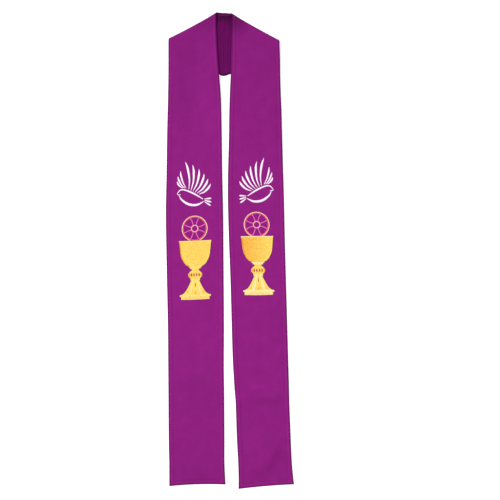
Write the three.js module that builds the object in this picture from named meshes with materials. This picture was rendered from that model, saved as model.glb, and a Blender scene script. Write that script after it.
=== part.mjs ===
// A clergy stole laid out on a table, face up, with its neck at the far end.
// Two long bands, each a face cloth over a lining, meet in a seam at the centre back.
// Each band runs from its hem up to the shoulder and folds over there. It returns beneath
// itself to the centre back seam, so the lining of the back neck shows between the two bands.
// Millimetres. +X is to the right, +Y runs from the hems to the neck and +Z is up.
import * as THREE from "three";

// Cloth
const FACE_THICK = 1.2; // face cloth and the interlining fused to it
const LINING_THICK = 1.0;
const CLOTH_GAP = 0.3; // between any two pieces of cloth
const BAND_THICK = FACE_THICK + CLOTH_GAP + LINING_THICK;

// Edges
const EDGE_ROUND = 0.9; // how far the rounding of a sewn edge reaches in
const EDGE_TURN = 3; // strip of face cloth that is turned to the lining side
const HEM_TURN = 4; // the same strip along the hem
const TURN_SLOPE = 0.3; // the inner wall of that strip leans by this much
const ALLOWANCE = 11; // seam allowance, pressed flat inside the band
const ALLOWANCE_RISE = 0.5;
const ALLOWANCE_SLOPE = 3;

// The fold over each shoulder
const FOLD_RADIUS = 3.7; // of the face cloth's outer surface
const FOLD_PUFF = 40; // the band is lifted by the soft fold over this length
const STEP_REST = 16; // below the back neck's edge the band stays level for this far
const STEP_DOWN = 80; // and this far below that edge it lies on the table

// The back neck, where the two sides meet, measured up from the hem line
const CENTRE_BACK = { top: 1198, bottom: 1039.2 };
const CENTRE_ROUND = 9; // rounding of the shallow V in the lower edge
const NECK_ROLL = 3; // the neck edge rolls up off the table by this much
const NECK_ROLL_SHARE = 0.14; // over this share of the back neck's width
const CROWN_SHARE = 0.2; // the share of that width over which the neck edge's crown rises

// Each side of the stole. Distances are from the centre back line, out to that side, and up from
// the hem line. The hem's bow is how far its middle stands above its corners, the fold's sag how
// far its middle hangs below its ends, and the crown how far the neck edge rises as it folds over.
const SIDES = [
  {
    name: "left",
    sign: -1,
    hem: { outer: -1.8, inner: 0.8, bow: 2.6 },
    shoulder: { out: 141.4, up: 1132.9 },
    neck: { out: 20.8, up: 1198.5 },
    sag: 1.6,
    crown: 2.4,
    edges: [
      { up: 0, inner: -2.2, outer: 139.8 },
      { up: 18, inner: -1.2, outer: 139.9 },
      { up: 60, inner: 0.6, outer: 140.0 },
      { up: 110, inner: 0.6, outer: 141.2 },
      { up: 220, inner: 1.2, outer: 142.0 },
      { up: 300, inner: 2.2, outer: 142.6 },
      { up: 400, inner: 1.8, outer: 143.4 },
      { up: 560, inner: 2.8, outer: 146.6 },
      { up: 690, inner: 3.8, outer: 148.6 },
      { up: 790, inner: 6.0, outer: 146.8 },
      { up: 900, inner: 7.4, outer: 145.2 },
      { up: 980, inner: 9.2, outer: 143.2 },
      { up: 1040, inner: 13.6, outer: 142.2 },
      { up: 1100, inner: 18.2, outer: 141.8 },
      { up: 1160, inner: 20.8, outer: 141.4 },
      { up: 1200, inner: 21.2, outer: 141.4 },
    ],
  },
  {
    name: "right",
    sign: 1,
    hem: { outer: 1.8, inner: -7.6, bow: 0.8 },
    shoulder: { out: 139.2, up: 1128.2 },
    neck: { out: 19.6, up: 1195.9 },
    sag: 1.2,
    crown: 2.6,
    edges: [
      { up: 0, inner: 36.0, outer: 176.4 },
      { up: 18, inner: 36.2, outer: 174.2 },
      { up: 60, inner: 34.9, outer: 170.4 },
      { up: 120, inner: 31.7, outer: 167.8 },
      { up: 210, inner: 28.6, outer: 164.2 },
      { up: 250, inner: 25.4, outer: 163.4 },
      { up: 320, inner: 21.3, outer: 161.3 },
      { up: 420, inner: 18.3, outer: 158.6 },
      { up: 520, inner: 15.5, outer: 155.7 },
      { up: 620, inner: 11.6, outer: 153.0 },
      { up: 720, inner: 9.0, outer: 150.8 },
      { up: 790, inner: 9.2, outer: 148.8 },
      { up: 880, inner: 11.5, outer: 146.2 },
      { up: 950, inner: 12.5, outer: 144.4 },
      { up: 1000, inner: 14.2, outer: 142.4 },
      { up: 1040, inner: 16.2, outer: 141.4 },
      { up: 1080, inner: 17.6, outer: 140.8 },
      { up: 1120, inner: 18.5, outer: 139.4 },
      { up: 1200, inner: 19.6, outer: 139.2 },
    ],
  },
];

// Soft swells where a band doesn't lie quite flat: its middle, its reach to each side and along
// the band, and its height off the table.
const SWELLS = [
  { sign: -1, out: 112, up: 930, across: 34, along: 120, lift: 1.8 },
  { sign: -1, out: 22, up: 700, across: 30, along: 150, lift: 1.2 },
  { sign: -1, out: 96, up: 268, across: 60, along: 46, lift: 1.4 },
  { sign: 1, out: 132, up: 905, across: 34, along: 140, lift: 1.6 },
  { sign: 1, out: 70, up: 236, across: 90, along: 32, lift: 2.0 },
  { sign: 1, out: 118, up: 104, across: 44, along: 66, lift: 2.4 },
];

// How finely each stretch of a band is built
const LEVEL_ROWS = 28;
const STEP_ROWS = 16;
const TURN_ROWS = 8;
const BACK_ROWS = 6;
const STEP_SHARE = 0.2; // of the front's length, up to the fold
const MIDDLE_COLUMNS = [0.25, 0.42, 0.58, 0.75];

const FACE = { name: "face", colour: 0x8f207f, roughness: 0.82 };
const LINING = { name: "lining", colour: 0x6a165d, roughness: 0.6 };

const { hypot, cos, sin, tan, PI } = Math;
const mix = THREE.MathUtils.lerp;
const smooth = THREE.MathUtils.smoothstep;

// A smooth value between the rows of a table, by cubic spans.
function between(rows, column, up) {
  const i = THREE.MathUtils.clamp(rows.findLastIndex((row) => row.up <= up), 0, rows.length - 2);
  const slope = (j) => {
    const below = rows[Math.max(j - 1, 0)];
    const above = rows[Math.min(j + 1, rows.length - 1)];
    return (above[column] - below[column]) / (above.up - below.up);
  };
  const [from, to] = [rows[i], rows[i + 1]];
  const span = to.up - from.up;
  const u = (up - from.up) / span;
  const ease = u * u * (3 - 2 * u);
  const leave = u * (1 - u) * (1 - u) * span * slope(i);
  const arrive = u * u * (u - 1) * span * slope(i + 1);
  return mix(from[column], to[column], ease) + leave + arrive;
}

// The shoulder fold of one side: its slope, the directions along it and out of it, and the line
// where the flat band starts to turn over.
function shoulderFold(side) {
  const { sign, shoulder, neck } = side;
  const slope = Math.atan2(neck.up - shoulder.up, shoulder.out - neck.out);
  const drop = FOLD_RADIUS / cos(slope);
  return {
    tan: tan(slope),
    along: new THREE.Vector2(-sign * cos(slope), sin(slope)),
    outward: new THREE.Vector2(sign * sin(slope), cos(slope)),
    startOuter: shoulder.up - drop,
    startInner: neck.up - drop,
  };
}

// Where a point of the flat front band lies. s runs from the hem, 0, to the fold, 1, and t from
// the outer edge, 0, to the inner edge, 1.
function frontPlan(side, fold, s, t) {
  const hem = mix(side.hem.outer, side.hem.inner, t) + side.hem.bow * 4 * t * (1 - t);
  const foldUp = mix(fold.startOuter, fold.startInner, t) - side.sag * 4 * t * (1 - t);
  const up = mix(hem, foldUp, s);
  const out = mix(between(side.edges, "outer", up), between(side.edges, "inner", up), t);
  return new THREE.Vector2(side.sign * out, up);
}

// A soft bump that falls to nothing at its edge.
function swell(point, { sign, out, up, across, along, lift }) {
  const away = hypot((point.x - sign * out) / across, (point.y - up) / along);
  return lift * (1 - smooth(away, 0, 1));
}

// The height of the front band's underside: on the table, over the swells, or on the back neck.
function undersideHeight(side, fold, point) {
  const bottom = new THREE.Vector2(0, CENTRE_BACK.bottom);
  const corner = new THREE.Vector2(side.sign * side.shoulder.out, side.shoulder.up);
  const edge = corner.clone().sub(bottom).normalize();
  const below = -side.sign * edge.cross(point.clone().sub(bottom));
  const onBack = 1 - smooth(below, STEP_REST, STEP_DOWN);
  const toFold = -fold.outward.dot(point.clone().sub(corner)) - FOLD_RADIUS;
  const puff = 1 - smooth(toFold, 0, FOLD_PUFF);
  const puffHeight = 2 * FOLD_RADIUS - 2 * BAND_THICK - CLOTH_GAP;
  const bumps = SWELLS.filter((bump) => bump.sign === side.sign);
  const lifted = bumps.reduce((sum, bump) => sum + swell(point, bump), 0);
  return (BAND_THICK + CLOTH_GAP) * onBack + puffHeight * puff + lifted;
}

// The rows of one side, from its hem to the centre back. Each row places a point by t, across the
// band from its outer edge, and by depth, in from the face cloth's outer surface.
function bandRows(side) {
  const fold = shoulderFold(side);
  const length = fold.startOuter - side.hem.outer;

  const front = (s, extra = {}) => ({
    at: (t, depth) => {
      const plan = frontPlan(side, fold, s, t);
      const height = undersideHeight(side, fold, plan) + BAND_THICK - depth;
      return new THREE.Vector3(plan.x, plan.y, height);
    },
    rise: 1,
    ...extra,
  });

  const turning = (angle) => ({
    at: (t, depth) => {
      const reach = FOLD_RADIUS - depth;
      const plan = frontPlan(side, fold, 1, t)
        .addScaledVector(fold.outward, reach * cos(angle))
        .addScaledVector(fold.along, (PI / 2 - angle) * FOLD_RADIUS * fold.tan);
      const crown = side.crown * smooth(t, 1 - CROWN_SHARE, 1) * smooth(-angle, -PI / 2, PI / 2);
      return new THREE.Vector3(plan.x, plan.y + crown, FOLD_RADIUS + reach * sin(angle));
    },
    rise: Math.max(0, sin(angle)),
  });

  const back = (e) => ({
    at: (t, depth) => {
      const start = turning(-PI / 2).at(t, 0);
      const seamUp = mix(CENTRE_BACK.bottom, CENTRE_BACK.top, t);
      const x = mix(start.x, side.sign * CLOTH_GAP * 0.5, e);
      const rounded = hypot(x, CENTRE_ROUND) - CENTRE_ROUND;
      const away = rounded / (hypot(start.x, CENTRE_ROUND) - CENTRE_ROUND);
      const roll = NECK_ROLL * smooth(t, 1 - NECK_ROLL_SHARE, 1) * smooth(e, 0, 0.5);
      return new THREE.Vector3(x, mix(seamUp, start.y, away), depth + roll);
    },
    rise: 0,
  });

  const hemRows = [
    front(0, { inside: BAND_THICK }),
    front(HEM_TURN / length, { inside: BAND_THICK }),
    front((HEM_TURN + TURN_SLOPE) / length),
  ];
  const liningStart = front((HEM_TURN + 2 * TURN_SLOPE) / length);
  const count = (n, make) => Array.from({ length: n }, (_, i) => make((i + 1) / n));
  const body = [
    ...count(LEVEL_ROWS, (u) => front(u * (1 - STEP_SHARE))),
    ...count(STEP_ROWS, (u) => front(1 - STEP_SHARE * (1 - u))),
    ...count(TURN_ROWS, (u) => turning(PI / 2 - PI * u)),
    ...count(BACK_ROWS, (u) => back(u)),
  ];
  return { face: [...hemRows, ...body], lining: [liningStart, ...body] };
}

// The face cloth's section in one row: its outside and its inside, each as {t, depth} from the
// band's outer edge to its inner edge.
function faceSection(row) {
  const width = row.at(0, 0).distanceTo(row.at(1, 0));
  const outer = (distance, depth) => ({ t: distance / width, depth });
  const inner = (distance, depth) => ({ t: 1 - distance / width, depth });
  const middle = (depth) => MIDDLE_COLUMNS.map((t) => ({ t, depth }));
  const rise = -ALLOWANCE_RISE * row.rise;
  const plain = ALLOWANCE + ALLOWANCE_SLOPE;
  const lift = row.inside ?? FACE_THICK;
  const outside = [
    outer(0, EDGE_ROUND),
    outer(EDGE_ROUND, rise),
    outer(EDGE_TURN, rise),
    outer(ALLOWANCE, rise),
    outer(plain, 0),
    ...middle(0),
    inner(plain, 0),
    inner(ALLOWANCE, rise),
    inner(EDGE_TURN, rise),
    inner(EDGE_ROUND, rise),
    inner(0, EDGE_ROUND),
  ];
  const inside = [
    outer(0, BAND_THICK - EDGE_ROUND),
    outer(EDGE_ROUND, BAND_THICK),
    outer(EDGE_TURN, BAND_THICK),
    outer(EDGE_TURN + TURN_SLOPE, lift),
    outer(plain, lift),
    ...middle(lift),
    inner(plain, lift),
    inner(EDGE_TURN + TURN_SLOPE, lift),
    inner(EDGE_TURN, BAND_THICK),
    inner(EDGE_ROUND, BAND_THICK),
    inner(0, BAND_THICK - EDGE_ROUND),
  ];
  return { outside, inside };
}

// The lining's section in one row: a plain strip between the turned edges of the face cloth.
function liningSection(row) {
  const width = row.at(0, 0).distanceTo(row.at(1, 0));
  const columns = [
    (EDGE_TURN + 2 * TURN_SLOPE) / width,
    (ALLOWANCE + ALLOWANCE_SLOPE) / width,
    ...MIDDLE_COLUMNS,
    1 - (ALLOWANCE + ALLOWANCE_SLOPE) / width,
    1 - (EDGE_TURN + 2 * TURN_SLOPE) / width,
  ];
  return {
    outside: columns.map((t) => ({ t, depth: BAND_THICK - LINING_THICK })),
    inside: columns.map((t) => ({ t, depth: BAND_THICK })),
  };
}

// A closed wall of cloth. Each row has a line of points on its outside and one on its inside, and
// neighbouring lines are joined all round and at both ends.
function wall(rows, sectionOf, mirrored) {
  const sections = rows.map(sectionOf);
  const count = sections[0].outside.length;
  const placed = (row, line) => line.map(({ t, depth }) => row.at(t, depth));
  const points = rows.flatMap((row, i) => [
    ...placed(row, sections[i].outside),
    ...placed(row, sections[i].inside),
  ]);
  const outside = (row, k) => 2 * row * count + k;
  const inside = (row, k) => (2 * row + 1) * count + k;

  const faces = [];
  const quad = (a, b, c, d) => faces.push([a, b, c], [a, c, d]);
  const turnedQuad = (a, b, c, d) => faces.push([a, c, b], [a, d, c]);
  const strip = (join, side, row) => {
    for (let k = 0; k + 1 < count; k += 1) {
      join(side(row, k), side(row, k + 1), side(row + 1, k + 1), side(row + 1, k));
    }
  };
  const edge = count - 1;
  const last = rows.length - 1;
  for (let row = 0; row < last; row += 1) {
    strip(quad, outside, row);
    strip(turnedQuad, inside, row);
    quad(inside(row, 0), outside(row, 0), outside(row + 1, 0), inside(row + 1, 0));
    quad(outside(row, edge), inside(row, edge), inside(row + 1, edge), outside(row + 1, edge));
  }
  for (let k = 0; k < edge; k += 1) {
    quad(inside(0, k), inside(0, k + 1), outside(0, k + 1), outside(0, k));
    quad(outside(last, k), outside(last, k + 1), inside(last, k + 1), inside(last, k));
  }

  const geometry = new THREE.BufferGeometry().setFromPoints(points);
  geometry.setIndex(faces.flatMap(([a, b, c]) => (mirrored ? [a, c, b] : [a, b, c])));
  geometry.computeVertexNormals();
  return geometry;
}

function clothMesh(cloth, side, rows, sectionOf) {
  const { colour, roughness } = cloth;
  const material = new THREE.MeshStandardMaterial({ color: colour, roughness, metalness: 0 });
  const mesh = new THREE.Mesh(wall(rows, sectionOf, side.sign > 0), material);
  mesh.name = `${cloth.name}_${side.name}`;
  return mesh;
}

const stole = new THREE.Group();
for (const side of SIDES) {
  const rows = bandRows(side);
  stole.add(clothMesh(FACE, side, rows.face, faceSection));
  stole.add(clothMesh(LINING, side, rows.lining, liningSection));
}

// The origin is on the table, under the middle of the stole.
const middle = new THREE.Box3().setFromObject(stole).getCenter(new THREE.Vector3());
stole.position.set(-middle.x, -middle.y, 0);

export default stole;
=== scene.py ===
# %% [markdown]
# # A clergy stole, laid out flat
#
# A stole is a long lined band of cloth that a minister wears round the neck. This one lies face
# up on a table: both ends hang down side by side, each folds over at a shoulder, and the two
# halves meet in a seam at the centre back, where the lining shows.
#
# The lesson keeps the stole's measured solids as a fixed frame and lays finer cloth over them.
# Then it sews the embroidery, stitch by stitch. Lengths in the tables are in millimetres.

# %% Load the frame
import math

import bpy
import numpy as np
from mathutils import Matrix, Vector


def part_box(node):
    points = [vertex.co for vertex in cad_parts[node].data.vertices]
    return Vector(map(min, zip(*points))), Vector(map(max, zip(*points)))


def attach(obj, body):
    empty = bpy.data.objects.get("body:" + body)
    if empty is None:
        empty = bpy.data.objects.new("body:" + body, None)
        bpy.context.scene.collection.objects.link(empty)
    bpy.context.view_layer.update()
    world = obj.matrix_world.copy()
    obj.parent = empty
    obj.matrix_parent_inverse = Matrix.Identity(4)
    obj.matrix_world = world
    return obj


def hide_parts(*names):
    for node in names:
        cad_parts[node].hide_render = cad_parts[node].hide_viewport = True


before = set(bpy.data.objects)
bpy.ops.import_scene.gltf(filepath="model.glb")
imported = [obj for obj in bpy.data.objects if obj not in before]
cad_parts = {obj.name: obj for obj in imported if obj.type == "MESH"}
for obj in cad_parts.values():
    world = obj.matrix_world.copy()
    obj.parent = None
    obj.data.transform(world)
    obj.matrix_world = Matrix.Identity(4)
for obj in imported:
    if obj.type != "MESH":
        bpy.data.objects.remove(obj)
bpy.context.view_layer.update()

MM = 0.001

# %% [markdown]
# ## Camera
#
# A stole laid flat is photographed from straight above. A wide lens held close would show the
# outer edges from the side, so this is a long lens from three metres up. An orthographic camera
# would also keep the outline true, but it flattens every fold, which a real lens doesn't.

# %% Camera
VIEW_SPAN = 1270 * MM  # what the picture spans on the table, each way
VIEW_MIDDLE = (51 * MM, 0.5 * MM)  # the picture's middle, from the stole's own middle
LENS_MM = 85
SENSOR_MM = 36

camera_data = bpy.data.cameras.new("camera")
camera_data.lens = LENS_MM
camera_data.sensor_width = SENSOR_MM
camera = bpy.data.objects.new("camera", camera_data)
camera.location = (*VIEW_MIDDLE, VIEW_SPAN * LENS_MM / SENSOR_MM)
bpy.context.scene.collection.objects.link(camera)
bpy.context.scene.camera = camera
print("camera height in m:", round(camera.location.z, 3))

# %% [markdown]
# ## One helper for materials
#
# Every material below is a small tree of nodes. One function adds a node: its settings are plain
# properties, and its inputs are either values or the sockets that feed it. Colours are written as
# sRGB hex, as a colour picker shows them, and one function turns them to the linear values that
# a renderer works in.

# %% Helpers for materials
def linear(hex_colour):
    """A linear RGBA colour from sRGB hex, such as "8f207f"."""
    channels = [int(hex_colour[i : i + 2], 16) / 255 for i in (0, 2, 4)]
    return [c / 12.92 if c <= 0.04045 else ((c + 0.055) / 1.055) ** 2.4 for c in channels] + [1]


def add_node(tree, kind, inputs=None, **settings):
    """Adds a node of a kind. inputs maps a socket's name or number to a value or a socket."""
    node = tree.nodes.new(kind)
    for name, value in settings.items():
        setattr(node, name, value)
    for name, value in (inputs or {}).items():
        if isinstance(value, bpy.types.NodeSocket):
            tree.links.new(value, node.inputs[name])
        else:
            node.inputs[name].default_value = value
    return node


def new_material(name):
    """An empty material's tree, and the material."""
    material = bpy.data.materials.new(name)
    material.use_nodes = True
    material.node_tree.nodes.clear()
    return material, material.node_tree


print("purple in linear light:", [round(c, 3) for c in linear("8f207f")])

# %% [markdown]
# ## Table and light
#
# The table is a light table: a matte white sheet with some light of its own, as shops use so that
# a product's shadow almost vanishes. It could be left out for a transparent background, but then
# no light would come back from below, and the cloth would seem to float.
#
# The light is a high-key studio: a bright even surround and one soft lamp at the left. The
# surround fills every shadow. The lamp gives the seams and folds a lit side and a shaded side, and
# a honeycomb grid narrows its beam, so that it fades a little towards both ends of the stole. The
# "Standard" view keeps colours as measured, where a film-like view greys them.

# %% Table
TABLE_GLOW = 0.45  # how much of a full white the table gives out by itself


def opal_acrylic():
    """Sanded opal acrylic, lit from below: no lamp is mirrored in it, and it fills shadows."""
    material, tree = new_material("sanded_opal_acrylic")
    shader = add_node(tree, "ShaderNodeBsdfPrincipled", {
        "Base Color": linear("f6f6f5"), "Roughness": 0.9, "Specular IOR Level": 0.1,
        "Emission Color": linear("ffffff"), "Emission Strength": TABLE_GLOW,
    })
    add_node(tree, "ShaderNodeOutputMaterial", {"Surface": shader.outputs["BSDF"]})
    return material


TABLE_SIZE = 8.0
bpy.ops.mesh.primitive_plane_add(size=TABLE_SIZE)
table = bpy.context.object
table.name = "table"
table.data.materials.append(opal_acrylic())
print("table:", TABLE_SIZE, "m square, top at z =", table.location.z)

# %% Light
SURROUND_STRENGTH = 0.62
LAMP_PLACE = (-3.9, 1.3, 4.1)
LAMP_AIM = (0.02, -0.11, 0)
LAMP_SIZE = 1.3
LAMP_SPREAD = math.radians(29)
LAMP_POWER = 8.4

world = bpy.data.worlds.new("studio")
world.use_nodes = True
surround = world.node_tree.nodes["Background"]
surround.inputs["Color"].default_value = (1, 1, 1, 1)
surround.inputs["Strength"].default_value = SURROUND_STRENGTH
bpy.context.scene.world = world

lamp_data = bpy.data.lights.new("soft_lamp", "AREA")
lamp_data.size = LAMP_SIZE
lamp_data.energy = LAMP_POWER
lamp_data.spread = LAMP_SPREAD
lamp = bpy.data.objects.new("soft_lamp", lamp_data)
lamp.location = LAMP_PLACE
lamp.rotation_euler = (Vector(LAMP_AIM) - lamp.location).to_track_quat("-Z", "Y").to_euler()
lamp.visible_camera = False
bpy.context.scene.collection.objects.link(lamp)
bpy.context.scene.view_settings.view_transform = "Standard"
print("lamp:", LAMP_POWER, "W, surround:", SURROUND_STRENGTH)

# %% [markdown]
# ## The stole's plan
#
# Every cloth surface below starts from the same few facts: where each band's two edges run, where
# it folds, and how thick the layers are. They are the measures that the solids were cut to, but
# for an ease of half a millimetre all round and up to two at the hems, where real cloth spreads.
# The edges could be read back from the solids by casting rays, but a short table is easier to
# check against a tape measure.
#
# "out" is measured from the centre back line, "up" from the line of the hems.

# %% Measures of the cloth
ORIGIN = np.array([13.81, 596.40, 0.0])  # from the centre back on the hem line to the origin
FACE_THICK = 1.2  # face cloth and the interlining fused to it
LINING_THICK = 1.0
CLOTH_GAP = 0.3
BAND_THICK = FACE_THICK + CLOTH_GAP + LINING_THICK
FOLD_RADIUS = 3.7
CENTRE_TOP = 1198.0
CENTRE_BOTTOM = 1039.2
CENTRE_ROUND = 9.0
EDGE_EASE = 0.4  # how far an edge spreads past its line
FOLD_EASE = 0.7  # how far a shoulder fold does

BANDS = {
    "left": {
        "sign": -1,
        "hem": {"outer": -2.8, "inner": 1.4, "bow": 2.6},
        "shoulder": (141.4, 1132.9),
        "neck": (20.8, 1198.5),
        "sag": 1.6,  # how far the fold's middle hangs below its ends
        "crown": 2.4,  # how far the neck edge rises as it folds over
        # up, out to the inner edge, out to the outer edge
        "edges": [
            (0, -2.2, 139.8), (18, -1.2, 139.9), (60, 0.6, 140.0), (110, 0.6, 141.2),
            (220, 1.2, 142.0), (300, 2.2, 142.6), (400, 1.8, 143.4), (560, 2.8, 146.6),
            (690, 3.8, 148.6), (790, 6.0, 146.8), (900, 7.4, 145.2), (980, 9.2, 143.2),
            (1040, 13.6, 142.2), (1100, 18.2, 141.8), (1160, 20.8, 141.4), (1200, 21.2, 141.4),
        ],
    },
    "right": {
        "sign": 1,
        "hem": {"outer": 1.8, "inner": -9.8, "bow": 1.6},
        "shoulder": (139.2, 1128.2),
        "neck": (19.6, 1195.9),
        "sag": 1.2,
        "crown": 2.6,
        "edges": [
            (0, 36.0, 176.4), (18, 36.2, 174.2), (60, 34.9, 170.4), (120, 31.7, 167.8),
            (210, 28.6, 164.2), (250, 25.4, 163.4), (320, 21.3, 161.3), (420, 18.3, 158.6),
            (520, 15.5, 155.7), (620, 11.6, 153.0), (720, 9.0, 150.8), (790, 9.2, 148.8),
            (880, 11.5, 146.2), (950, 12.5, 144.4), (1000, 14.2, 142.4), (1040, 16.2, 141.4),
            (1080, 17.6, 140.8), (1120, 18.5, 139.4), (1200, 19.6, 139.2),
        ],
    },
}
print("bands:", list(BANDS), "each", BAND_THICK, "mm thick in all")

# %% Smooth steps and smooth tables
def smooth(value, low, high):
    """0 below low, 1 above high, and an even S between them."""
    u = np.clip((value - low) / (high - low), 0, 1)
    return u * u * (3 - 2 * u)


def between(edges, column, up):
    """A smooth value between the rows of a table of edges, by cubic spans."""
    table_up = np.array([row[0] for row in edges], float)
    values = np.array([row[column] for row in edges], float)
    before = np.r_[0, np.arange(len(values) - 1)]
    after = np.r_[np.arange(1, len(values)), len(values) - 1]
    slope = (values[after] - values[before]) / (table_up[after] - table_up[before])
    i = np.clip(np.searchsorted(table_up, up, side="right") - 1, 0, len(values) - 2)
    span = table_up[i + 1] - table_up[i]
    u = (up - table_up[i]) / span
    ease = u * u * (3 - 2 * u)
    leave = u * (1 - u) ** 2 * span * slope[i]
    arrive = u * u * (u - 1) * span * slope[i + 1]
    return values[i] + (values[i + 1] - values[i]) * ease + leave + arrive


for name, band in BANDS.items():
    wide = between(band["edges"], 2, 300.0) - between(band["edges"], 1, 300.0)
    print(name, "band's width 300 mm above its hem:", round(float(wide), 1), "mm")

# %% [markdown]
# ## Where a band lies
#
# Cloth that lies on a table is nearly flat, but only nearly. Here the front of each band rests on
# the table, climbs over the lower edge of the back neck that lies beneath it, and swells a little
# where it was folded for the post. A cloth simulation could find such swells, but it
# would also move the outline. Short tables of soft bumps put them where they are wanted.

# %% The shoulder fold and the flat front
def add_fold(band):
    """Works out a band's shoulder fold: its slope, and its directions along and outward."""
    (out, up), (neck_out, neck_up) = band["shoulder"], band["neck"]
    slope = math.atan2(neck_up - up, out - neck_out)
    drop = FOLD_RADIUS / math.cos(slope)
    band["slope"] = slope
    band["along"] = np.array([-band["sign"] * math.cos(slope), math.sin(slope)])
    band["outward"] = np.array([band["sign"] * math.sin(slope), math.cos(slope)])
    band["fold_outer"] = up - drop
    band["fold_inner"] = neck_up - drop
    band["length"] = band["fold_outer"] - band["hem"]["outer"]
    return math.degrees(slope)


def front_plan(band, share, t):
    """Where the flat front is. share runs from hem to fold, t from outer to inner edge."""
    hem = band["hem"]
    start = hem["outer"] + (hem["inner"] - hem["outer"]) * t + hem["bow"] * 4 * t * (1 - t)
    end = band["fold_outer"] + (band["fold_inner"] - band["fold_outer"]) * t
    end = end - band["sag"] * 4 * t * (1 - t) + FOLD_EASE * (1 - t**4)
    up = start + (end - start) * share
    inner = between(band["edges"], 1, up) - EDGE_EASE
    outer = between(band["edges"], 2, up) + EDGE_EASE
    return band["sign"] * (outer + (inner - outer) * t), up


for name, band in BANDS.items():
    print(name, "shoulder's slope in degrees:", round(add_fold(band), 1))

# %% How high the cloth lies
STEP_REST = 16  # the front stays level for this far below the back neck's edge
STEP_DOWN = 80  # and is on the table this far below it
FOLD_PUFF = 40  # the soft fold lifts the front over this length

# Soft swells: band, out, up, reach across, reach along, lift
SWELLS = [
    ("left", 112, 930, 34, 120, 1.8),
    ("left", 124, 1062, 30, 92, 1.8),
    ("left", 34, 1030, 40, 130, 1.5),
    ("left", 22, 700, 30, 150, 1.2),
    ("left", 96, 268, 60, 46, 1.4),
    ("right", 20, 1180, 38, 52, 2.4),
    ("right", 132, 905, 34, 140, 1.6),
    ("right", 70, 236, 90, 32, 2.0),
    ("right", 102, 92, 54, 70, 4.8),
]


def underside(band_name, x, up):
    """The height of the front's underside at places in its plan."""
    band = BANDS[band_name]
    sign = band["sign"]
    corner = np.array([sign * band["shoulder"][0], band["shoulder"][1]])
    edge = corner - np.array([0, CENTRE_BOTTOM])
    edge = edge / np.hypot(*edge)
    below = -sign * (edge[0] * (up - CENTRE_BOTTOM) - edge[1] * x)
    on_back = 1 - smooth(below, STEP_REST, STEP_DOWN)
    outward = band["outward"]
    to_fold = -(outward[0] * (x - corner[0]) + outward[1] * (up - corner[1])) - FOLD_RADIUS
    puff = 1 - smooth(to_fold, 0, FOLD_PUFF)
    height = (BAND_THICK + CLOTH_GAP) * on_back
    height = height + (2 * FOLD_RADIUS - 2 * BAND_THICK - CLOTH_GAP) * puff
    for name, out, swell_up, across, along, lift in SWELLS:
        if name == band_name:
            away = np.hypot((x - sign * out) / across, (up - swell_up) / along)
            height = height + lift * (1 - smooth(away, 0, 1))
    return height


print("height on the back neck:", round(float(underside("left", -100.0, 1120.0)), 2), "mm")

# %% [markdown]
# ## Pressed seams, creases and puckers
#
# The face cloth is sewn to the lining inside out, turned, and pressed. The seam allowance stays
# inside as a flat strip, and shows as a faint raised border about 9 mm wide. Cloth that was
# folded for the post keeps a few soft creases, and a sewn edge puckers slightly. All are below a
# millimetre, but for two soft folds of 3 mm near the right hem. A bump texture could show them
# too, but they are moves of the surface itself, so the light catches them from every side.

# %% Relief of the face cloth
ALLOWANCE = 9.4
ALLOWANCE_RISE = 0.5
ALLOWANCE_SLOPE = 2.2
PUCKER_RISE = 0.10
PUCKER_REACH = 14.0
# The allowance was cut by hand: how far its width sways, slowly and quickly, and over what run
SLOW_SWAY, SLOW_RUN = 0.35, 31
QUICK_SWAY, QUICK_RUN = 0.2, 9.7
PUCKER_RUN, PUCKER_DRIFT, PUCKER_FADE = 2.9, 23, 41  # runs of the pucker's waves, and of its changes
CREASE_WANDER = 3  # how far a crease strays from a straight line
CREASE_FULL = 0.3  # it has its full height over this share of its half length

# Creases: band, out, up, turn in degrees, half length, half width, height (troughs are below 0)
CREASES = [
    ("right", 88, 220, 2, 100, 15.0, 2.8),
    ("right", 92, 238, 4, 84, 4.0, -0.9),
    ("right", 118, 74, 53, 64, 17.0, 3.0),
    ("right", 92, 560, -4, 64, 6.0, -0.35),
    ("right", 60, 872, 12, 52, 8.0, -0.5),
    ("right", 104, 1010, -16, 46, 7.0, 0.45),
    ("left", 84, 236, -3, 66, 6.0, -0.55),
    ("left", 112, 168, 22, 40, 8.0, -0.5),
    ("left", 58, 412, 4, 56, 7.0, -0.3),
    ("left", 116, 886, 74, 62, 8.0, -0.55),
    ("left", 78, 962, -20, 50, 7.0, 0.4),
    ("left", 52, 1048, 30, 40, 8.0, -0.5),
    ("left", 34, 1153, 64, 14, 5.0, -0.9),
    ("left", 46, 1166, 20, 26, 6.0, -0.7),
    ("right", 40, 1150, -38, 30, 7.0, -0.8),
]


def crease_height(band_name, x, up, creases=CREASES):
    """What creases add to the outside of a cloth."""
    total = np.zeros_like(x)
    for name, out, crease_up, turn, half_length, half_width, height in creases:
        if name == band_name:
            angle = math.radians(turn)
            dx, dy = x - BANDS[name]["sign"] * out, up - crease_up
            along = dx * math.cos(angle) + dy * math.sin(angle)
            across = dy * math.cos(angle) - dx * math.sin(angle)
            bend = across - CREASE_WANDER * np.sin(along / half_length * 2)
            fade = 1 - smooth(np.abs(along), CREASE_FULL * half_length, half_length)
            total += height * fade * np.exp(-((bend / half_width) ** 2))
    return total


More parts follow.
